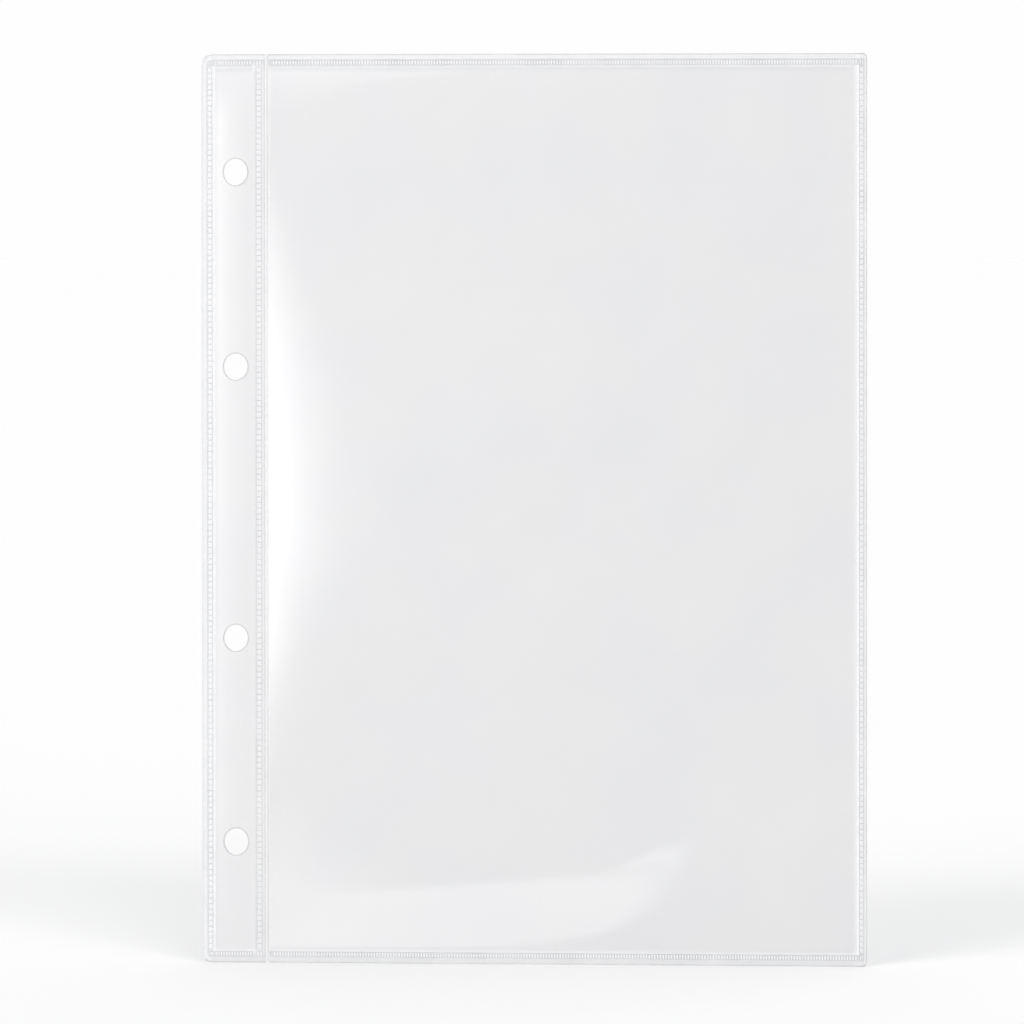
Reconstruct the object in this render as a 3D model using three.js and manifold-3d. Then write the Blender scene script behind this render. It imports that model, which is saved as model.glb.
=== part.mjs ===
import * as THREE from 'three';
import { mergeVertices } from 'three/addons/utils/BufferGeometryUtils.js';
import Module from 'manifold-3d';

const wasm = await Module();
wasm.setup();

// A clear vinyl pocket page for a ring binder, in millimetres, +Z up, with its front towards -Y.
// It is two half pages that bend at a crease: a binding strip of two plies with the ring holes,
// and a pocket of two films whose mouth opens beside the strip.
// The origin lies on the line of the ring holes, midway between the middle two, on the plane
// where the front films are welded to the back films.

// Page outline
const pageHeight = 223.6;
const stripWidth = 16.2; // binding edge to the crease
const pocketWidth = 148.15; // crease to the far edge
const stripTopRadius = 2.7;
const stripBottomRadius = 2.2;
const pocketRadius = 1;

// Films
const backFilm = 0.25; // runs behind the strip and the pocket
const frontFilm = 0.25; // front of the pocket
const stripFilm = 0.3; // second ply of the binding strip
const bendClearance = 0.075; // left at the crease with the page folded square

// Ring holes, a little longer than they are wide
const holeWidth = 5.95;
const holeLength = 6.5;
const holeInset = 8.45; // binding edge to the line of the holes
const lowestHole = 29.8; // above the bottom edge
const lowerPitch = 50.2;
const middlePitch = 66.8;
const upperPitch = 47.9;

// Weld seams: a flat rim, a band of ribs like a ladder, then a smooth bead
const rimWidth = 1.4;
const farRimWidth = 0.6; // the rim is narrower along the far edge
const ladderWidth = 1.2;
const spineLadderWidth = 1.6;
const spineInset = 1.9; // middle of the spine seam to the crease
const beadWidth = 0.5;
const seamSpacing = 0.1; // between rim, ladder and bead
const ribPitch = 1.38;
const ribHeight = 0.16;
const ribValley = 0.04;
const reliefHeight = 0.12; // rim and bead above their film
const weldDepth = 0.05; // how far the seam's relief is rooted in its film

// Pocket
const mouthGape = 7; // widest gap between the films, at the middle of the mouth
const mouthClearance = 0.25; // mouth edge to the strip with the page folded forward
const bowColumns = 14;
const bowRows = 26;

// Places that follow from the sizes above, measured from the page's bottom binding corner
const pageWidth = stripWidth + pocketWidth;
const creaseHalf = backFilm / 2 + bendClearance; // half of the slit that stands for the crease
const plySetback = frontFilm + backFilm / 2 + bendClearance; // front films to the middle of the crease
const mouthSetback = backFilm / 2 + stripFilm + ribHeight + mouthClearance;
const reliefSetback = plySetback + ribHeight + bendClearance;
const endBorder = rimWidth + ladderWidth + beadWidth + 2 * seamSpacing;
const farBorder = farRimWidth + ladderWidth + beadWidth + 2 * seamSpacing;
const holeHeights = [
  lowestHole,
  lowestHole + lowerPitch,
  lowestHole + lowerPitch + middlePitch,
  lowestHole + lowerPitch + middlePitch + upperPitch,
];

const clearVinyl = new THREE.MeshStandardMaterial({
  color: 0xe6e9ec,
  roughness: 0.12,
  metalness: 0,
  transparent: true,
  opacity: 0.35,
});
const stripVinyl = new THREE.MeshStandardMaterial({
  color: 0xeceef0,
  roughness: 0.2,
  metalness: 0,
  transparent: true,
  opacity: 0.45,
});

// Joins a geometry's corners into one closed solid, ready to be cut or joined.
function solidOf(geometry) {
  const bare = geometry.index ? geometry.toNonIndexed() : geometry.clone();
  bare.deleteAttribute('normal');
  bare.deleteAttribute('uv');
  const merged = mergeVertices(bare, 1e-5);
  return new wasm.Manifold(
    new wasm.Mesh({
      numProp: 3,
      vertProperties: merged.attributes.position.array,
      triVerts: new Uint32Array(merged.index.array),
    }),
  );
}

// Turns a solid back into a named mesh.
function meshOf(name, solid, material) {
  const { vertProperties, triVerts } = solid.getMesh();
  const geometry = new THREE.BufferGeometry();
  geometry.setAttribute('position', new THREE.BufferAttribute(vertProperties, 3));
  geometry.setIndex(new THREE.BufferAttribute(triVerts, 1));
  geometry.computeVertexNormals();
  const mesh = new THREE.Mesh(geometry, material);
  mesh.name = name;
  return mesh;
}

function joined(solids) {
  return solids.reduce((whole, solid) => whole.add(solid));
}

// The outline of a sheet with round corners between two heights and two distances.
function outline(left, right, bottom, top, radius) {
  const corners = [
    [left, bottom, radius.bottomLeft ?? 0, Math.PI],
    [right, bottom, radius.bottomRight ?? 0, 1.5 * Math.PI],
    [right, top, radius.topRight ?? 0, 0],
    [left, top, radius.topLeft ?? 0, 0.5 * Math.PI],
  ];
  const shape = new THREE.Shape();
  corners.forEach(([x, z, r, from], i) => {
    const centreX = x === left ? x + r : x - r;
    const centreZ = z === bottom ? z + r : z - r;
    const startX = centreX + r * Math.cos(from);
    const startZ = centreZ + r * Math.sin(from);
    if (i === 0) shape.moveTo(startX, startZ);
    else shape.lineTo(startX, startZ);
    if (r > 0) shape.absarc(centreX, centreZ, r, from, from + Math.PI / 2, false);
  });
  return shape;
}

// Stands a drawing up in the XZ plane, with its thickness coming forward from backY.
const standing = new THREE.Matrix4().makeBasis(
  new THREE.Vector3(1, 0, 0),
  new THREE.Vector3(0, 0, 1),
  new THREE.Vector3(0, -1, 0),
);
function slab(shape, thickness, backY) {
  const geometry = new THREE.ExtrudeGeometry(shape, {
    depth: thickness,
    bevelEnabled: false,
    curveSegments: 12,
  });
  return geometry.applyMatrix4(standing).translate(0, backY, 0);
}

// A band of ribs across a seam: each rib rises to ribHeight between two valleys.
function ladderProfile(length) {
  const ribs = Math.max(1, Math.round(length / ribPitch));
  const step = length / ribs;
  const profile = new THREE.Shape();
  profile.moveTo(0, -weldDepth);
  profile.lineTo(length, -weldDepth);
  profile.lineTo(length, ribValley);
  for (let i = ribs; i > 0; i--) {
    profile.lineTo((i - 0.5) * step, ribHeight);
    profile.lineTo((i - 1) * step, ribValley);
  }
  return profile;
}

const upwards = new THREE.Matrix4().makeBasis(
  new THREE.Vector3(0, 0, 1),
  new THREE.Vector3(0, -1, 0),
  new THREE.Vector3(1, 0, 0),
);
function verticalLadder(left, width, bottom, top, faceY) {
  const bar = new THREE.ExtrudeGeometry(ladderProfile(top - bottom), {
    depth: width,
    bevelEnabled: false,
  });
  return solidOf(bar.applyMatrix4(upwards).translate(left, faceY, bottom));
}

const sideways = new THREE.Matrix4().makeBasis(
  new THREE.Vector3(1, 0, 0),
  new THREE.Vector3(0, -1, 0),
  new THREE.Vector3(0, 0, -1),
);
function levelLadder(left, right, top, faceY) {
  const bar = new THREE.ExtrudeGeometry(ladderProfile(right - left), {
    depth: ladderWidth,
    bevelEnabled: false,
  });
  return solidOf(bar.applyMatrix4(sideways).translate(left, faceY, top));
}

// A raised line between two outlines, rooted in the film whose front is at faceY.
function raisedLine(outer, inner, faceY) {
  const height = reliefHeight + weldDepth;
  const cutter = slab(inner, height + 2, faceY + weldDepth + 1);
  return solidOf(slab(outer, height, faceY + weldDepth)).subtract(solidOf(cutter));
}

// Binding strip

const stripRadius = { bottomLeft: stripBottomRadius, topLeft: stripTopRadius };

function stripOutline(right) {
  const shape = outline(0, right, 0, pageHeight, stripRadius);
  for (const height of holeHeights) {
    const hole = new THREE.Path();
    hole.absellipse(holeInset, height, holeWidth / 2, holeLength / 2, 0, 2 * Math.PI, true);
    shape.holes.push(hole);
  }
  return shape;
}

function stripBackPly() {
  return solidOf(slab(stripOutline(stripWidth - creaseHalf), backFilm, backFilm));
}

function stripFrontPly() {
  const right = stripWidth - plySetback;
  const reliefRight = stripWidth - reliefSetback;
  const spineLeft = stripWidth - spineInset - spineLadderWidth / 2;
  const ladderLeft = rimWidth + seamSpacing;
  const beadLeft = ladderLeft + ladderWidth + seamSpacing;
  const beadRight = spineLeft - seamSpacing;
  const top = pageHeight;
  const square = {};
  const rim = raisedLine(
    outline(0, reliefRight, 0, top, stripRadius),
    outline(rimWidth, reliefRight + 1, rimWidth, top - rimWidth, square),
    -stripFilm,
  );
  const bead = raisedLine(
    outline(beadLeft, beadRight, endBorder - beadWidth, top - endBorder + beadWidth, square),
    outline(beadLeft + beadWidth, beadRight - beadWidth, endBorder, top - endBorder, square),
    -stripFilm,
  );
  return joined([
    solidOf(slab(stripOutline(right), stripFilm, 0)),
    rim,
    bead,
    verticalLadder(ladderLeft, ladderWidth, ladderLeft, top - ladderLeft, -stripFilm),
    verticalLadder(spineLeft, spineLadderWidth, ladderLeft, top - ladderLeft, -stripFilm),
    levelLadder(beadLeft, beadRight, ladderLeft + ladderWidth, -stripFilm),
    levelLadder(beadLeft, beadRight, top - ladderLeft, -stripFilm),
  ]);
}

// Pocket

const pocketRadii = { bottomRight: pocketRadius, topRight: pocketRadius };
const mouthX = stripWidth + mouthSetback;
const farWeldX = pageWidth - farBorder;

function pocketBackFilm() {
  const shape = outline(stripWidth + creaseHalf, pageWidth, 0, pageHeight, pocketRadii);
  return solidOf(slab(shape, backFilm, backFilm));
}

// How far the front film stands off the back film: most at the middle of the mouth, nothing
// along the three welds.
function gapAt(x, z) {
  const inward = THREE.MathUtils.clamp((x - mouthX) / (farWeldX - mouthX), 0, 1);
  const upward = THREE.MathUtils.clamp((z - endBorder) / (pageHeight - 2 * endBorder), 0, 1);
  return mouthGape * (1 - inward) ** 2 * Math.sin(Math.PI * upward);
}

// The front film as a finely divided sheet, bowed forward: the last column and the outer rows
// are the flat borders that the welds hold.
function bowedFilm() {
  const columns = bowColumns + 1;
  const rows = bowRows + 2;
  const sheet = new THREE.BoxGeometry(columns, frontFilm, rows, columns, 1, rows);
  sheet.translate(columns / 2, -frontFilm / 2, rows / 2);
  const place = sheet.attributes.position;
  for (let i = 0; i < place.count; i++) {
    const column = Math.round(place.getX(i));
    const row = Math.round(place.getZ(i));
    const x =
      column === columns ? pageWidth : mouthX + ((farWeldX - mouthX) * column) / bowColumns;
    let z = endBorder + ((pageHeight - 2 * endBorder) * (row - 1)) / bowRows;
    if (row === 0) z = 0;
    if (row === rows) z = pageHeight;
    place.setXYZ(i, x, place.getY(i) - gapAt(x, z), z);
  }
  return solidOf(sheet);
}

function pocketFrontFilm() {
  const left = stripWidth + plySetback;
  const reliefLeft = stripWidth + reliefSetback;
  const top = pageHeight;
  const faceY = -frontFilm;
  const ladderBottom = rimWidth + seamSpacing;
  const ladderFar = pageWidth - farRimWidth - seamSpacing;
  const beadFar = farWeldX + beadWidth;
  const square = {};
  const whole = outline(left, pageWidth, 0, top, pocketRadii);
  const trim = solidOf(slab(whole, mouthGape + 2 * frontFilm, 0));
  const tabRight = mouthX + frontFilm; // laps the bowed film's flat border
  const tabs = [0, top - endBorder].map((bottom) =>
    solidOf(slab(outline(left, tabRight, bottom, bottom + endBorder, square), frontFilm, 0)),
  );
  const rim = raisedLine(
    outline(reliefLeft, pageWidth, 0, top, pocketRadii),
    outline(reliefLeft - 1, pageWidth - farRimWidth, rimWidth, top - rimWidth, square),
    faceY,
  );
  const bead = raisedLine(
    outline(reliefLeft, beadFar, endBorder - beadWidth, top - endBorder + beadWidth, square),
    outline(reliefLeft - 1, farWeldX, endBorder, top - endBorder, square),
    faceY,
  );
  return joined([
    bowedFilm().intersect(trim),
    ...tabs,
    rim,
    bead,
    verticalLadder(ladderFar - ladderWidth, ladderWidth, ladderBottom, top - ladderBottom, faceY),
    levelLadder(reliefLeft, ladderFar - ladderWidth, ladderBottom + ladderWidth, faceY),
    levelLadder(reliefLeft, ladderFar - ladderWidth, top - ladderBottom, faceY),
  ]);
}

// Page

const bindingStrip = new THREE.Group();
bindingStrip.add(
  meshOf('strip_back_ply', stripBackPly(), stripVinyl),
  meshOf('strip_front_ply', stripFrontPly(), stripVinyl),
);

const pocket = new THREE.Group();
pocket.add(
  meshOf('pocket_back_film', pocketBackFilm(), clearVinyl),
  meshOf('pocket_front_film', pocketFrontFilm(), clearVinyl),
);

const page = new THREE.Group();
page.add(bindingStrip, pocket);
page.position.set(-holeInset, 0, -(lowestHole + lowerPitch + middlePitch / 2));

export default page;
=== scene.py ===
# A clear vinyl pocket page for a ring binder, standing upright on a white floor.
# Sizes in the dictionaries are in millimetres and angles in degrees; the scene is in metres and radians.
import math

import bmesh
import bpy
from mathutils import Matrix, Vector


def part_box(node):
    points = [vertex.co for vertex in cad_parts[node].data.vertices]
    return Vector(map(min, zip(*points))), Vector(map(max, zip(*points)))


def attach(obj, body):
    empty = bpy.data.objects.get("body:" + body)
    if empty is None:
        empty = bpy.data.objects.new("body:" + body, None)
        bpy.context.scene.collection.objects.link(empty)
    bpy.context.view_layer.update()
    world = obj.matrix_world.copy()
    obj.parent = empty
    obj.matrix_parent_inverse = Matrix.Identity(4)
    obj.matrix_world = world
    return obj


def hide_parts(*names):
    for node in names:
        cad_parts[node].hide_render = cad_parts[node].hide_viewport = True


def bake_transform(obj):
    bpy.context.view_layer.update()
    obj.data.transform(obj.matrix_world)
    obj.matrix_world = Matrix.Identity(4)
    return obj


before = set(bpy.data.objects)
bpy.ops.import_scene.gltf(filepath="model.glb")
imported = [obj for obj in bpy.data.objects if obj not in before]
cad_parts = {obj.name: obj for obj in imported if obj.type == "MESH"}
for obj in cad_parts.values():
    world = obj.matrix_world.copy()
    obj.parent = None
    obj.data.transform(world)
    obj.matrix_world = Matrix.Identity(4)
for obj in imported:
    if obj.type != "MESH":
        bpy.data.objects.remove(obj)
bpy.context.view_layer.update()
mm = 0.001


def cadBox(node):
    low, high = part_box(node)
    return low / mm, high / mm


stripBack = cadBox("strip_back_ply")
stripFront = cadBox("strip_front_ply")
pocketBack = cadBox("pocket_back_film")
pocketFront = cadBox("pocket_front_film")
bottom, top = stripBack[0].z, stripBack[1].z
bindingEdge, farEdge = stripBack[0].x, pocketBack[1].x
filmBack = stripBack[1].y
crease = (stripBack[1].x + pocketBack[0].x) / 2


# Shader nodes

class Wire:
    # one output of a node, so that shader maths reads as plain expressions
    def __init__(self, shader, socket):
        self.shader = shader
        self.socket = socket

    def __add__(self, other):
        return self.shader.maths("ADD", self, other)

    def __sub__(self, other):
        return self.shader.maths("SUBTRACT", self, other)

    def __rsub__(self, other):
        return self.shader.maths("SUBTRACT", other, self)

    def __mul__(self, other):
        return self.shader.maths("MULTIPLY", self, other)

    def __abs__(self):
        return self.shader.maths("ABSOLUTE", self)


class Shader:
    # the node tree of a material or the world, started empty
    def __init__(self, owner):
        owner.use_nodes = True
        self.tree = owner.node_tree
        self.tree.nodes.clear()

    def add(self, kind, settings=None, values=None, output=0):
        node = self.tree.nodes.new("ShaderNode" + kind)
        for name, value in (settings or {}).items():
            setattr(node, name, value)
        for name, value in (values or {}).items():
            if isinstance(value, Wire):
                self.tree.links.new(value.socket, node.inputs[name])
            else:
                node.inputs[name].default_value = value
        return Wire(self, node.outputs[output] if node.outputs else None)

    def maths(self, operation, first, second=0.0):
        return self.add("Math", {"operation": operation}, {0: first, 1: second})

    def ramp(self, value, start, end, low=0.0, high=1.0):
        # rises smoothly from low to high while value goes from start to end
        return self.add(
            "MapRange",
            {"interpolation_type": "SMOOTHSTEP"},
            {"Value": value, "From Min": start, "From Max": end, "To Min": low, "To Max": high},
        )

    def noise(self, place, wavelength, detail=2.0):
        return self.add("TexNoise", {}, {"Vector": place, "Scale": 1 / (wavelength * mm), "Detail": detail})

    def path(self, output):
        return self.add("LightPath", output=output)

    def wasMirrored(self):
        return self.maths("GREATER_THAN", self.path("Glossy Depth"), 0.5)

    def choose(self, mask, first, second):
        return mask * second + (1 - mask) * first


# Materials

pocketLook = {
    "tint": (0.972, 0.97, 0.967, 1),
    "tintDeep": (0.945, 0.947, 0.962, 1),
    "tintPatch": 30,
    # colour of the painted shade along seams, ribs, holes and the crease, and how it fades in patches
    "line": (0.36, 0.36, 0.38, 1),
    "linePatch": 9,
    "lineFaint": 0.7,
    "lineLevels": (0.3, 0.65),
    "ior": 1.5,
    "roughness": 0.02,
    "roughnessChange": 0.03,
    "smear": 18,
    "smearDetail": 4.0,
    "waveLength": 38,
    "waveHeight": 0.12,
    "waveDetail": 1.0,
    "rippleLength": 7,
    "rippleHeight": 0.004,
    "shadow": (0.855, 0.86, 0.868, 1),
}
stripLook = pocketLook | {
    "tint": (0.985, 0.986, 0.991, 1),
    "tintDeep": (0.965, 0.966, 0.973, 1),
    "waveHeight": 0.05,
    "waveLength": 26,
}
# the welds' film is tinted lighter, a painted highlight that makes their ribs and beads show bright
weldLook = pocketLook | {
    "tint": (0.99, 0.991, 0.995, 1),
    "tintDeep": (0.955, 0.957, 0.965, 1),
    "tintPatch": 6,
    "ior": 1.4,
    "roughness": 0.06,
    "roughnessChange": 0.08,
    "smear": 2.5,
    "waveHeight": 0.012,
    "waveLength": 3,
    "rippleLength": 0.8,
    "rippleHeight": 0.003,
}


def vinyl(name, look):
    material = bpy.data.materials.new(name)
    shader = Shader(material)
    place = shader.add("TexCoord", output="Object")
    patch = shader.noise(place, look["tintPatch"])
    tint = shader.add(
        "Mix", {"data_type": "RGBA"}, {0: patch, 6: look["tint"], 7: look["tintDeep"]}, output=2
    )
    # painted shade: the mesh says where a pressed or cut line bends the light away, and the tint darkens
    # there
    line = shader.add("Attribute", {"attribute_name": "line"}, output="Fac")
    linePatch = shader.noise(place, look["linePatch"])
    line = line * shader.ramp(linePatch, *look["lineLevels"], look["lineFaint"], 1.0)
    tint = shader.add("Mix", {"data_type": "RGBA"}, {0: line, 6: tint, 7: look["line"]}, output=2)
    wave = shader.noise(place, look["waveLength"], look["waveDetail"]) - 0.5
    ripple = shader.noise(place, look["rippleLength"], look["waveDetail"]) - 0.5
    height = wave * (look["waveHeight"] * mm) + ripple * (look["rippleHeight"] * mm)
    relief = shader.add("Bump", {}, {"Height": height, "Distance": 1.0, "Strength": 1.0})
    smear = shader.noise(place, look["smear"], look["smearDetail"])
    film = shader.add(
        "BsdfPrincipled",
        {},
        {
            "Base Color": tint,
            "Roughness": smear * look["roughnessChange"] + look["roughness"],
            "IOR": look["ior"],
            "Transmission Weight": 1.0,
            "Normal": relief,
        },
    )
    shade = shader.add("BsdfTransparent", {}, {"Color": look["shadow"]})
    surface = shader.add("MixShader", {}, {0: shader.path("Is Shadow Ray"), 1: film, 2: shade})
    shader.add("OutputMaterial", {}, {"Surface": surface})
    return material


pocketVinyl = vinyl("pocketVinyl", pocketLook)
stripVinyl = vinyl("stripVinyl", stripLook)
weldVinyl = vinyl("weldVinyl", weldLook)
print("materials are ready")


# Films

seam = {
    "rim": 1.4,
    "ladder": 1.2,
    "bead": 0.5,
    "spacing": 0.1,
    "edgeHeight": 0.04,
    "edgeStep": 0.1,
    "edgeEnd": 0.34,
    "rimHeight": 0.12,
    "rimFade": 0.3,
    "rimFall": 0.08,
    "beadSlope": 0.2,
    "beadShoulder": 0.8,
    "fadeOut": 0.5,
    "ribPitch": 1.38,
    "ribHeight": 0.16,
    "splitOver": 1,
    "edgeShade": 0.9,
    "rimShade": 0.6,
    "ladderShade": 0.8,
}
seam["ladderStart"] = seam["rim"] + seam["spacing"]
seam["ladderEnd"] = seam["ladderStart"] + seam["ladder"]
seam["beadStart"] = seam["ladderEnd"] + seam["spacing"]
seam["end"] = seam["beadStart"] + seam["bead"]
# the far edge's seam is narrower: what starts at "from" elsewhere starts at "at" there, and from there
# on it is smaller by "scale"
farSeam = {"from": seam["rim"] - seam["rimFade"], "at": 0.42, "scale": 0.87}
# places in a film that are nearer than this are the same
touch = 0.001

# what each side's seam looks like: painted shade at its edge, its rim, the ladder's two lines and the
# tops of its ribs, and height and painted shade of the bead inside it
seamSides = {
    "left": {"edge": 0.45, "rim": 0.12, "outer": 0.55, "inner": 0.4, "rib": 0, "bead": 0.1, "band": 0.1},
    "right": {"edge": 0.8, "rim": 0, "outer": 0.6, "inner": 0.8, "rib": 0.1, "bead": 0.12, "band": 0},
    "top": {"edge": 0.9, "rim": 0, "outer": 0.7, "inner": 0.5, "rib": 0, "bead": 0.03, "band": 0.2},
    "bottom": {"edge": 1, "rim": 0.25, "outer": 0.5, "inner": 0.6, "rib": 0, "bead": 0.03, "band": 0.12},
}


def seamProfile(side):
    # the seam's cross section: distance from the edge, height above the film, painted shade
    look = seamSides[side]
    shoulder = seam["beadShoulder"] * look["bead"]
    slope = seam["beadSlope"] * seam["bead"]
    return [
        (0, seam["edgeHeight"], look["edge"]),
        (seam["edgeStep"], seam["rimHeight"], seam["edgeShade"] * look["edge"]),
        (seam["edgeEnd"], seam["rimHeight"], look["rim"]),
        (seam["rim"] - seam["rimFade"], seam["rimHeight"], look["rim"]),
        (seam["rim"] - seam["rimFall"], seam["rimHeight"], seam["rimShade"] * look["outer"]),
        (seam["rim"], 0, look["outer"]),
        (seam["ladderStart"], 0, seam["ladderShade"] * look["outer"]),
        (seam["ladderEnd"], 0, seam["ladderShade"] * look["inner"]),
        (seam["beadStart"], 0, look["inner"]),
        (seam["beadStart"] + slope, shoulder, look["band"]),
        (seam["beadStart"] + seam["bead"] / 2, look["bead"], look["band"]),
        (seam["end"] - slope, shoulder, look["band"]),
        (seam["end"], 0, look["band"]),
        (seam["end"] + seam["fadeOut"], 0, 0),
    ]


profiles = {side: seamProfile(side) for side in seamSides}
seamSteps = [distance for distance, height, line in profiles["top"][:-1]]


def alongSeam(side, distance, item):
    # height (item 1) or painted shade (item 2) of a side's seam at a distance from the edge
    for near, far in zip(profiles[side], profiles[side][1:]):
        if near[0] - touch / 10 <= distance < far[0] - touch / 10:
            return near[item] + (far[item] - near[item]) * (distance - near[0]) / (far[0] - near[0])
    return 0.0


def farPlace(distance):
    if distance < farSeam["from"] - touch:
        return distance
    return farSeam["at"] + (distance - farSeam["from"]) * farSeam["scale"]


def evenly(start, end, pitch):
    count = max(1, round((end - start) / pitch))
    return [start + (end - start) * i / count for i in range(1, count + 1)]


def sheet(columns, rows):
    # an upright grid with its lines at the given places
    bm = bmesh.new()
    bmesh.ops.create_grid(bm, x_segments=len(columns) - 1, y_segments=len(rows) - 1, size=0.5)
    for vert in bm.verts:
        column = round((vert.co.x + 0.5) * (len(columns) - 1))
        row = round((vert.co.y + 0.5) * (len(rows) - 1))
        vert.co = (columns[column], 0, rows[row])
    # the ribs along the top and the bottom are half as wide
    ladders = [bottom + seam["ladderStart"], bottom + seam["ladderEnd"]]
    ladders += [top - seam["ladderStart"], top - seam["ladderEnd"]]
    wide = [
        edge
        for edge in bm.edges
        if edge.calc_length() > seam["splitOver"]
        and any(all(abs(vert.co.z - height) < touch for vert in edge.verts) for height in ladders)
    ]
    bmesh.ops.subdivide_edges(bm, edges=wide, cuts=1)
    return bm


hole = {
    "x": 0,
    "heights": (-83.6, -33.4, 33.4, 81.3),
    "width": 5.95,
    "length": 6.5,
    "points": 48,
    "lineWidth": 0.4,
    # painted shade round the hole's cut edge
    "line": 0.3,
    "halfPatch": (4.0, 4.14),
    "patchCells": 6,
}


def punch(bm):
    # swaps a patch of the grid round each ring hole for a collar that ends on the hole
    halfWide, halfHigh = hole["halfPatch"]
    for height in hole["heights"]:
        inside = [
            face
            for face in bm.faces
            if abs(face.calc_center_median().x - hole["x"]) < halfWide
            and abs(face.calc_center_median().z - height) < halfHigh
        ]
        before = {edge for edge in bm.edges if edge.is_boundary}
        bmesh.ops.delete(bm, geom=inside, context="FACES")
        rim = [edge for edge in bm.edges if edge.is_boundary and edge not in before]
        circle = bmesh.ops.create_circle(bm, segments=hole["points"], radius=0.5)["verts"]
        ring = list({edge for vert in circle for edge in vert.link_edges})
        margin = 2 * hole["lineWidth"]
        for vert in circle:
            x, z = vert.co.x * (hole["width"] + margin), vert.co.y * (hole["length"] + margin)
            vert.co = (hole["x"] + x, 0, height + z)
        bmesh.ops.bridge_loops(bm, edges=rim + ring)
        grown = bmesh.ops.extrude_edge_only(bm, edges=ring)["geom"]
        for vert in grown:
            if isinstance(vert, bmesh.types.BMVert):
                away = Vector((vert.co.x - hole["x"], vert.co.z - height))
                x = away.x * hole["width"] / (hole["width"] + margin)
                z = away.y * hole["length"] / (hole["length"] + margin)
                vert.co = (hole["x"] + x, 0, height + z)


def onHole(x, z):
    for height in hole["heights"]:
        across, up = (x - hole["x"]) / hole["width"], (z - height) / hole["length"]
        if math.hypot(across, up) < 0.5 + touch:
            return True
    return False


def thicken(bm, backY, frontY):
    # gives the sheet its thickness: backY and frontY say where its two faces lie at x, z
    made = bmesh.ops.extrude_face_region(bm, geom=bm.faces[:])["geom"]
    front = {item for item in made if isinstance(item, bmesh.types.BMVert)}
    for vert in bm.verts:
        lie = frontY if vert in front else backY
        vert.co.y = lie(vert.co.x, vert.co.z)
    bm.normal_update()
    bmesh.ops.recalc_face_normals(bm, faces=bm.faces[:])
    return {face for face in bm.faces if all(vert in front for vert in face.verts)}


def markPaintedShade(bm, front, paintedShadeAt):
    # stores at each vertex the painted shade of a line there: seams mark the front only, holes both faces
    layer = bm.verts.layers.float.new("line")
    for vert in {vert for face in front for vert in face.verts}:
        vert[layer] = paintedShadeAt(vert.co.x, vert.co.z)
    for vert in bm.verts:
        if onHole(vert.co.x, vert.co.z):
            vert[layer] = hole["line"]
    return layer


# ribs by the shorter side of their cell: how far in they start, how wide their slope is, and the painted
# shade round its foot
ribSizes = (
    {"least": 0.5, "most": 1, "inset": 0.15, "slope": 0.05, "foot": 1},
    {"least": 1, "most": 2, "inset": 0.14, "slope": 0.13, "foot": 0.7},
)


def raiseRibs(bm, faces, layer, ribPaintedShade):
    # each cell of a ladder becomes a small pillow, clear on top and with painted shade round its foot
    for rib in ribSizes:
        some = [
            face
            for face in faces
            if rib["least"] < min(edge.calc_length() for edge in face.edges) < rib["most"]
        ]
        bmesh.ops.inset_individual(bm, faces=some, thickness=rib["inset"], depth=0)
        for face in some:
            for vert in face.verts:
                vert[layer] = rib["foot"]
        bmesh.ops.inset_individual(bm, faces=some, thickness=rib["slope"], depth=seam["ribHeight"])
        for face in some:
            for vert in face.verts:
                vert[layer] = ribPaintedShade(face.calc_center_median())


def roundCorner(bm, cornerX, cornerZ, radius):
    # square rings of the grid near a corner become arcs about the corner's centre
    centreX = cornerX - math.copysign(radius, cornerX - hole["x"])
    centreZ = cornerZ - math.copysign(radius, cornerZ)
    for vert in bm.verts:
        across = (vert.co.x - centreX) * math.copysign(1, cornerX - centreX)
        up = (vert.co.z - centreZ) * math.copysign(1, cornerZ - centreZ)
        if across <= 0 or up <= 0:
            continue
        ring = max(across, up)
        turn = math.pi / 4 * min(across, up) / ring
        if up > across:
            turn = math.pi / 2 - turn
        vert.co.x = centreX + math.copysign(ring * math.cos(turn), cornerX - centreX)
        vert.co.z = centreZ + math.copysign(ring * math.sin(turn), cornerZ - centreZ)


crispAngle = 35


def sharpen(bm):
    for edge in bm.edges:
        edge.smooth = edge.calc_face_angle(math.pi) < math.radians(crispAngle)
    # where a sharp line stops, all edges are sharp, or a slope's shading would leak into a flat face
    stops = [vert for vert in bm.verts if sum(not edge.smooth for edge in vert.link_edges) == 1]
    for vert in stops:
        for edge in vert.link_edges:
            edge.smooth = False


def toObject(name, bm, materials):
    bmesh.ops.scale(bm, vec=(mm, mm, mm), verts=bm.verts[:])
    mesh = bpy.data.meshes.new(name)
    for face in bm.faces:
        face.smooth = True
    bm.to_mesh(mesh)
    bm.free()
    for material in materials:
        mesh.materials.append(material)
    piece = bpy.data.objects.new(name, mesh)
    bpy.context.scene.collection.objects.link(piece)
    print(name, "has", len(mesh.polygons), "faces")
    return piece


def smooth(value):
    value = min(max(value, 0), 1)
    return value * value * (3 - 2 * value)


def nearestSide(x, z, left=None, right=None):
    # the nearest welded side and the distance from its edge
    sides = [("bottom", z - bottom), ("top", top - z)]
    if left is not None:
        sides.append(("left", x - left))
    if right is not None:
        sides.append(("right", right - x))
    return min(sides, key=lambda side: side[1])


cornerRadius = {"stripTop": 2.7, "stripBottom": 2.2, "pocket": 1.0}


def roundStripCorners(bm):
    roundCorner(bm, bindingEdge, top, cornerRadius["stripTop"])
    roundCorner(bm, bindingEdge, bottom, cornerRadius["stripBottom"])


def roundFarCorners(bm):
    roundCorner(bm, farEdge, top, cornerRadius["pocket"])
    roundCorner(bm, farEdge, bottom, cornerRadius["pocket"])


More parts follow.
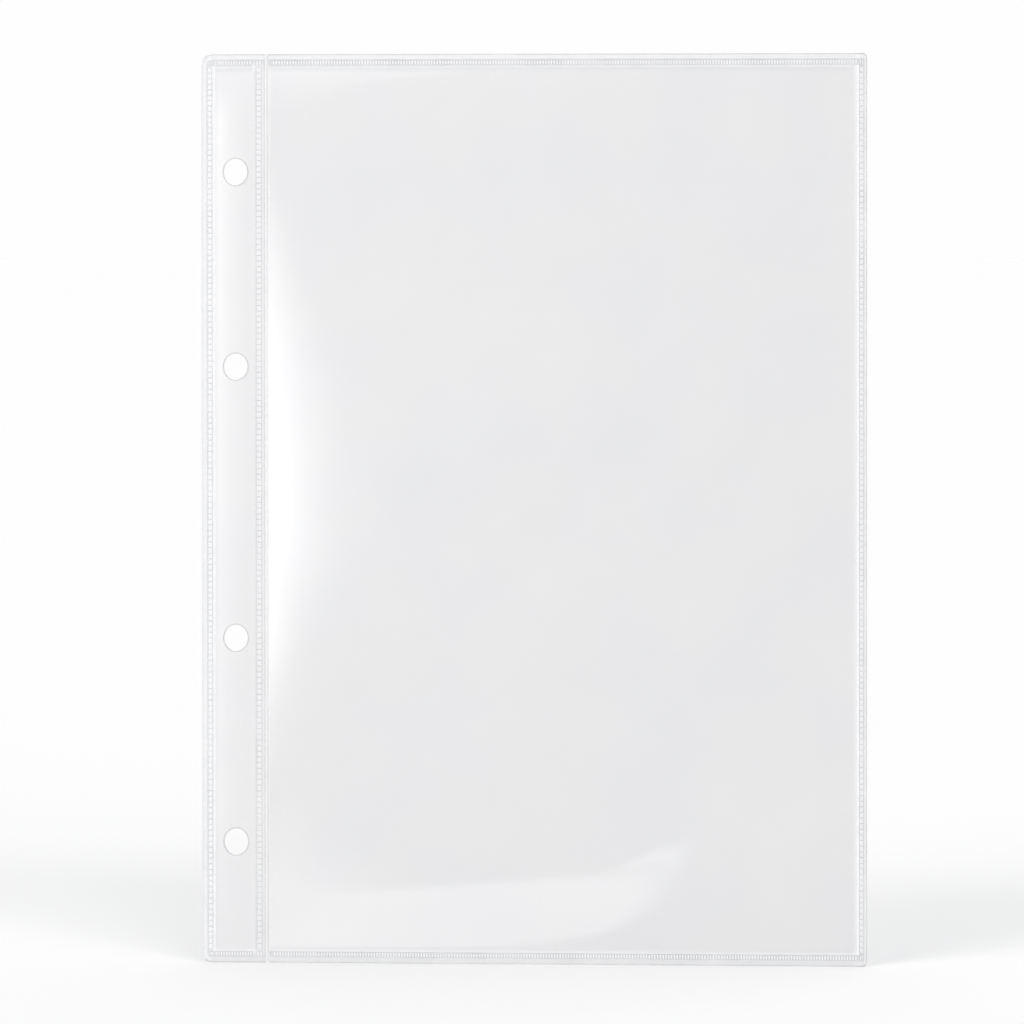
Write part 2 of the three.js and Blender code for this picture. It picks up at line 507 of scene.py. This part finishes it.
def rowsWithHoles():
    rows = [bottom + step for step in seamSteps]
    for height in hole["heights"]:
        low, high = height - hole["halfPatch"][1], height + hole["halfPatch"][1]
        rows += evenly(rows[-1], low, seam["ribPitch"])
        rows += evenly(low, high, (high - low) / hole["patchCells"])
    rows += evenly(rows[-1], top - seam["end"], seam["ribPitch"])
    return rows + [top - step for step in reversed(seamSteps[:-1])]


def holeColumns(left, right):
    # columns across the strip's clear panel, with the patch round the holes in the middle
    half = hole["halfPatch"][0]
    columns = evenly(left, hole["x"] - half, seam["ribPitch"])
    columns += evenly(hole["x"] - half, hole["x"] + half, 2 * half / hole["patchCells"])
    return columns + evenly(hole["x"] + half, right, seam["ribPitch"])


stripShape = {
    "film": 0.3,
    "innerY": -0.02,
    "spineLadder": 1.4,
    "spineInset": 1.95,
    "spineEdge": 0.35,
    # painted shade along the spine's columns
    "spinePaintedShade": (0, 0.2, 0.38, 0.3, 0.1, 0.3, 0.6),
    "freeEdge": 0.2,
    "dome": 0.1,
    "domeLower": 0.035,
    "domeEnds": 14,
    "domeInner": 0.9,
}


def stripFilm():
    right = stripFront[1].x
    ladderLeft = crease - stripShape["spineInset"] - stripShape["spineLadder"] / 2
    ladderRight = ladderLeft + stripShape["spineLadder"]
    panelLeft, panelRight = bindingEdge + seam["end"], ladderLeft - 2 * stripShape["spineEdge"]
    columns = [bindingEdge + step for step in seamSteps]
    columns += holeColumns(panelLeft, panelRight)
    spine = [panelRight, ladderLeft - stripShape["spineEdge"], ladderLeft, ladderRight]
    spine += [ladderRight + stripShape["spineEdge"], right - stripShape["freeEdge"], right]
    columns += spine[1:]

    def dome(x, z):
        # trapped air lifts the ply a little between its seams
        across = 2 * (x - panelLeft) / (panelRight - panelLeft) - 1
        up = min(z - bottom - seam["end"], top - seam["end"] - z)
        if abs(across) >= 1 or up <= 0:
            return 0.0
        share = (z - bottom) / (top - bottom)
        height = stripShape["domeLower"] + (stripShape["dome"] - stripShape["domeLower"]) * share
        return height * (1 - across * across) * smooth(up / stripShape["domeEnds"])

    def frontY(x, z):
        side, distance = nearestSide(x, z, left=bindingEdge)
        relief = 0.0
        if x < panelRight or distance < seam["ladderStart"]:
            relief = alongSeam(side, distance, 1)
        return -stripShape["film"] - relief - dome(x, z)

    def paintedShadeAt(x, z):
        side, distance = nearestSide(x, z, left=bindingEdge)
        if distance > seam["ladderStart"]:
            for place, line in zip(spine, stripShape["spinePaintedShade"]):
                if abs(x - place) < touch:
                    return line
        return alongSeam(side, distance, 2)

    def backY(x, z):
        return stripShape["innerY"] - stripShape["domeInner"] * dome(x, z)

    bm = sheet(columns, rowsWithHoles())
    punch(bm)
    front = thicken(bm, backY, frontY)
    lines = markPaintedShade(bm, front, paintedShadeAt)
    ribs = []
    for face in bm.faces:
        centre = face.calc_center_median()
        side, distance = nearestSide(centre.x, centre.z, left=bindingEdge)
        # the seams and the spine take the lighter weld film, a painted highlight
        if distance < seam["end"] or centre.x > panelRight:
            face.material_index = 1
        inLadder = seam["ladderStart"] < distance < seam["ladderEnd"]
        inSpine = ladderLeft < centre.x < ladderRight and distance > seam["ladderStart"]
        if face in front and (inLadder or inSpine):
            ribs.append(face)

    def ribPaintedShade(place):
        if ladderLeft < place.x < ladderRight:
            return 0
        return seamSides[nearestSide(place.x, place.z, left=bindingEdge)[0]]["rib"]

    raiseRibs(bm, ribs, lines, ribPaintedShade)
    roundStripCorners(bm)
    sharpen(bm)
    piece = toObject("stripFilm", bm, [stripVinyl, weldVinyl])
    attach(piece, "binding_strip")
    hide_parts("strip_front_ply")


backShape = {
    "innerY": 0.01,
    "creaseHalf": 0.42,
    "creaseStep": 0.06,
    "creaseLine": 0.12,
    "creaseLineWidth": 0.2,
    "creasePaintedShade": 0.6,
    "creaseSeamPaintedShade": 0.18,
    "edgePaintedShade": 0.5,
    "edgeRound": 0.05,
    "cell": 4.2,
}


def backFilm():
    edge = seamSteps[1]
    bendLeft, bendRight = crease - backShape["creaseHalf"], crease + backShape["creaseHalf"]
    columns = [bindingEdge, bindingEdge + edge, bindingEdge + seam["end"]]
    columns += holeColumns(columns[-1], bendLeft)
    columns += evenly(bendLeft, bendRight, backShape["creaseStep"])
    columns += evenly(bendRight, farEdge - seam["end"], backShape["cell"])
    columns += [farEdge - edge, farEdge]

    def frontY(x, z):
        return backShape["innerY"]

    def backY(x, z):
        onEdge = nearestSide(x, z, bindingEdge, farEdge)[1] < touch
        return filmBack - (backShape["edgeRound"] if onEdge else 0)

    # painted shade along the crease, on the film's cut edges and where the crease crosses the seams
    def paintedShadeAt(x, z):
        away = (x - crease - backShape["creaseLine"]) / backShape["creaseLineWidth"]
        distance = nearestSide(x, z, bindingEdge, farEdge)[1]
        line = backShape["creasePaintedShade"] * math.exp(-away * away)
        if distance < touch:
            line = max(line, backShape["edgePaintedShade"])
        if abs(x - crease) < backShape["creaseHalf"] + touch and distance < seam["end"]:
            line = max(line, backShape["creaseSeamPaintedShade"])
        return line

    bm = sheet(columns, rowsWithHoles())
    punch(bm)
    front = thicken(bm, backY, frontY)
    markPaintedShade(bm, front, paintedShadeAt)
    for face in bm.faces:
        centre = face.calc_center_median()
        # the seams take the lighter weld film, a painted highlight
        if nearestSide(centre.x, centre.z, bindingEdge, farEdge)[1] < seam["end"]:
            face.material_index = 1
    roundStripCorners(bm)
    roundFarCorners(bm)
    sharpen(bm)
    piece = toObject("backFilm", bm, [pocketVinyl, weldVinyl])
    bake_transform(piece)
    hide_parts("strip_back_ply", "pocket_back_film")


pocketShape = {
    "film": 0.25,
    "innerY": -0.01,
    "mouthInset": 0.385,
    "mouthEdge": (0.25, 0.6),
    "gape": 6.7,
    "fullness": 0.7,
    "widest": 1.12,
    "lip": 0.3,
    "lipReach": 8.0,
}
# a low wave in the front film above the bottom seam, rising to a tip towards the far edge
swoosh = {
    "height": 5.5,
    "slope": 0.115,
    "width": 20,
    "rise": 1.4,
    "bendX": 84,
    "bendReach": 34,
    "bendRise": 12,
    "endX": 110,
    "endWidth": 60,
    "fade": 100,
    "tipWidth": 3,
    "tipRise": -0.2,
    "foot": 8,
}


def pocketFilm():
    tabLeft = pocketFront[0].x
    mouth = tabLeft + pocketShape["mouthInset"]
    farSteps = [farPlace(step) for step in seamSteps]
    panelRight = farEdge - farPlace(seam["end"])
    columns = [mouth] + [mouth + step for step in pocketShape["mouthEdge"]]
    columns += evenly(columns[-1], panelRight, seam["ribPitch"])
    columns += [farEdge - step for step in reversed(farSteps[:-1])]
    rows = [bottom + step for step in seamSteps]
    rows += evenly(rows[-1], top - seam["end"], seam["ribPitch"])
    rows += [top - step for step in reversed(seamSteps[:-1])]

    def ring(x, z):
        # the nearest side and the distance that its seam would have if all were equally wide
        distance = farEdge - x
        if distance > seam["edgeEnd"] + 10 * touch:
            distance = farSeam["from"] + (distance - farSeam["at"]) / farSeam["scale"]
        return nearestSide(x, z, right=x + distance)

    def gap(x, z):
        across = min(max((x - mouth) / (panelRight - mouth), 0), 1)
        up = min(max((z - bottom - seam["end"]) / (top - bottom - 2 * seam["end"]), 0), 1)
        arch = math.sin(math.pi * up ** pocketShape["widest"])
        bow = pocketShape["gape"] * (1 - across) ** 2 * arch ** pocketShape["fullness"]
        lip = pocketShape["lip"] * math.exp(-(x - mouth) / pocketShape["lipReach"]) * arch
        bend = max(x - swoosh["bendX"], 0) / swoosh["bendReach"]
        height = z - bottom - swoosh["height"] - swoosh["slope"] * (x - mouth)
        height -= swoosh["bendRise"] * bend ** 2
        width = swoosh["width"] + swoosh["tipWidth"] * smooth(bend)
        wave = smooth(height / width + 0.5) * smooth((swoosh["fade"] - height) / swoosh["fade"])
        wave *= swoosh["rise"] + swoosh["tipRise"] * smooth(bend)
        wave *= smooth((swoosh["endX"] - x) / swoosh["endWidth"] + 0.5)
        return bow + lip + wave * smooth((z - bottom - seam["end"]) / swoosh["foot"])

    def frontY(x, z):
        # the seam's relief stops short of the crease, so that the page folds without clipping
        side, distance = ring(x, z)
        relief = alongSeam(side, distance, 1) if x > mouth + touch else 0
        return -pocketShape["film"] - gap(x, z) - relief

    def backY(x, z):
        return pocketShape["innerY"] - gap(x, z)

    def paintedShadeAt(x, z):
        side, distance = ring(x, z)
        return alongSeam(side, distance, 2)

    bm = sheet(columns, rows)
    front = thicken(bm, backY, frontY)
    lines = markPaintedShade(bm, front, paintedShadeAt)
    ribs = []
    for face in bm.faces:
        centre = face.calc_center_median()
        side, distance = ring(centre.x, centre.z)
        # the seams and the mouth's free edge take the lighter weld film, a painted highlight along them
        if distance < seam["end"] or centre.x < mouth + pocketShape["mouthEdge"][1]:
            face.material_index = 1
        if seam["ladderStart"] < distance < seam["ladderEnd"] and face in front:
            ribs.append(face)
    raiseRibs(bm, ribs, lines, lambda place: seamSides[ring(place.x, place.z)[0]]["rib"])
    for vert in bm.verts:
        if abs(vert.co.x - mouth) < touch and ring(vert.co.x, vert.co.z)[1] < seam["end"] + touch:
            vert.co.x = tabLeft
    roundFarCorners(bm)
    sharpen(bm)
    piece = toObject("pocketFilm", bm, [pocketVinyl, weldVinyl])
    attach(piece, "pocket")
    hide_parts("pocket_front_film")


backFilm()
stripFilm()
pocketFilm()


# Stage

floorShape = {"halfWidth": 12000, "front": -4000, "back": 40000, "white": 0.9, "throughFilm": 0.9}


def layFloor():
    bm = bmesh.new()
    bmesh.ops.create_grid(bm, x_segments=1, y_segments=1, size=1)
    for vert in bm.verts:
        depth = floorShape["front"] if vert.co.y < 0 else floorShape["back"]
        vert.co = (vert.co.x * floorShape["halfWidth"], depth, bottom)
    material = bpy.data.materials.new("whiteFloor")
    shader = Shader(material)
    paint = shader.add("BsdfDiffuse", {}, {"Color": (floorShape["white"],) * 3 + (1,)})
    glow = shader.add("Emission", {}, {"Color": (1, 1, 1, 1), "Strength": 1.0})
    throughFilm = shader.path("Is Transmission Ray") * floorShape["throughFilm"]
    surface = shader.add("MixShader", {}, {0: throughFilm, 1: paint, 2: glow})
    # where the films mirror the floor they show the studio instead
    clear = shader.add("BsdfTransparent")
    surface = shader.add("MixShader", {}, {0: shader.wasMirrored(), 1: surface, 2: clear})
    shader.add("OutputMaterial", {}, {"Surface": surface})
    floor = toObject("floor", bm, [material])
    floor.visible_glossy = False


studio = {
    "seen": 0.991,
    "ambient": 0.41,
    "turn": (-0.2, 0.3),
    "front": 0.09,
    "back": 0.75,
    "leftGlow": 0.8,
    "leftGlowAcross": (-4.5, -10.5),
    "leftGlowUp": (-4.2, -0.8),
    "leftGlowBelow": 0.3,
    "topGlow": 0.14,
    "topGlowUp": (-4, 4.5),
    "ceiling": 0.9,
    "ceilingUp": (26, 45),
    "seenThrough": (0.12, 0.55),
    "seenThroughLeast": 0.3,
}
# softboxes as the films mirror them: azimuths and elevations of their soft edges, how soft they are
# across and up, brightness, and how much their sides curve
softboxes = [
    {"left": -25.5, "right": -12, "low": -14, "high": 14, "soft": (4, 4), "bright": 2.2, "curve": 0},
    {"left": 3.6, "right": 24.5, "low": -9.2, "high": 13, "soft": (2.8, 1.2), "bright": 3.2, "curve": 0.024},
    {"left": -26.5, "right": -1.5, "low": 15, "high": 32, "soft": (2, 2), "bright": 0.3, "curve": 0},
    {"left": -31.5, "right": 12.5, "low": -50, "high": -10.5, "soft": (2, 3), "bright": 0.9, "curve": 0},
]


def paintStudio():
    world = bpy.data.worlds.new("studio")
    bpy.context.scene.world = world
    shader = Shader(world)
    direction = shader.add("TexCoord", output="Generated")
    split = shader.add("SeparateXYZ", {}, {0: direction})
    x = Wire(shader, split.socket.node.outputs[0])
    y = Wire(shader, split.socket.node.outputs[1])
    z = Wire(shader, split.socket.node.outputs[2])
    azimuth = shader.maths("ARCTAN2", x, 0 - y) * (180 / math.pi)
    elevation = shader.maths("ARCSINE", z) * (180 / math.pi)
    mirrored = shader.choose(shader.ramp(y, *studio["turn"]), studio["front"], studio["back"])
    leftGlow = shader.ramp(azimuth, *studio["leftGlowAcross"], 0, studio["leftGlow"])
    leftGlow = leftGlow * shader.ramp(elevation, *studio["leftGlowUp"], studio["leftGlowBelow"], 1)
    topGlow = shader.ramp(elevation, *studio["topGlowUp"], 0, studio["topGlow"])
    mirrored = mirrored + leftGlow + topGlow
    for box in softboxes:
        wide, high = box["soft"]
        across = azimuth + elevation * elevation * box["curve"]
        inside = shader.ramp(across, box["left"] - wide, box["left"] + wide)
        inside = inside * shader.ramp(across, box["right"] + wide, box["right"] - wide)
        inside = inside * shader.ramp(elevation, box["low"] - high, box["low"] + high)
        inside = inside * shader.ramp(elevation, box["high"] + high, box["high"] - high)
        mirrored = mirrored + inside * box["bright"]
    above = shader.ramp(elevation, *studio["ceilingUp"])
    mirrored = shader.choose(above, mirrored, studio["ceiling"])
    seenThrough = shader.ramp(abs(y), *studio["seenThrough"], studio["seenThroughLeast"], 1)
    # white where it is seen straight or through the films, and the studio where they mirror it
    light = shader.choose(shader.path("Is Transmission Ray"), studio["ambient"], seenThrough)
    light = shader.choose(shader.wasMirrored(), light, mirrored)
    light = shader.choose(shader.path("Is Camera Ray"), light, studio["seen"])
    sky = shader.add("Background", {}, {"Color": (1, 1, 1, 1), "Strength": light})
    shader.add("OutputWorld", {}, {"Surface": sky})


# far lamps, so that they light the floor evenly: floorLight is what each adds to it
lamps = {
    "frontLeft": {"azimuth": -20, "elevation": 21, "spread": 26, "floorLight": 0.31},
    "frontRight": {"azimuth": 21, "elevation": 20, "spread": 26, "floorLight": 0.31},
    "behind": {"azimuth": 180, "elevation": 35, "spread": 40, "floorLight": 0.07},
}


def directionFrom(azimuth, elevation):
    # azimuth 0 is in front of the page and grows to the right
    across, up = math.radians(azimuth), math.radians(elevation)
    level = math.cos(up)
    return Vector((math.sin(across) * level, -math.cos(across) * level, math.sin(up)))


def hangLamps():
    for name, lamp in lamps.items():
        data = bpy.data.lights.new(name, "SUN")
        data.angle = math.radians(lamp["spread"])
        toLamp = directionFrom(lamp["azimuth"], lamp["elevation"])
        data.energy = lamp["floorLight"] * math.pi / toLamp.z
        light = bpy.data.objects.new(name, data)
        light.rotation_euler = (-toLamp).to_track_quat("-Z", "Y").to_euler()
        light.visible_glossy = light.visible_transmission = False  # no bright spots in the films
        bpy.context.scene.collection.objects.link(light)


camera = {
    "target": (68.45, 0, -2.22),
    "distance": 2850,
    "azimuth": 6.783,
    "elevation": 1.5,
    "roll": -0.035,
    "lens": 408.07,
    "sensor": 36,
    "clip": (0.05, 100),
}


def placeCamera():
    data = bpy.data.cameras.new("camera")
    data.lens = camera["lens"]
    data.sensor_width = camera["sensor"]
    data.clip_start, data.clip_end = camera["clip"]
    view = bpy.data.objects.new("camera", data)
    back = directionFrom(camera["azimuth"], camera["elevation"])
    view.location = (Vector(camera["target"]) + back * camera["distance"]) * mm
    view.rotation_euler = (-back).to_track_quat("-Z", "Y").to_euler()
    view.rotation_euler.rotate_axis("Z", math.radians(camera["roll"]))
    bpy.context.scene.collection.objects.link(view)
    bpy.context.scene.camera = view


placeCamera()
layFloor()
paintStudio()
hangLamps()
bpy.context.scene.view_settings.view_transform = "Standard"
print("stage is set")
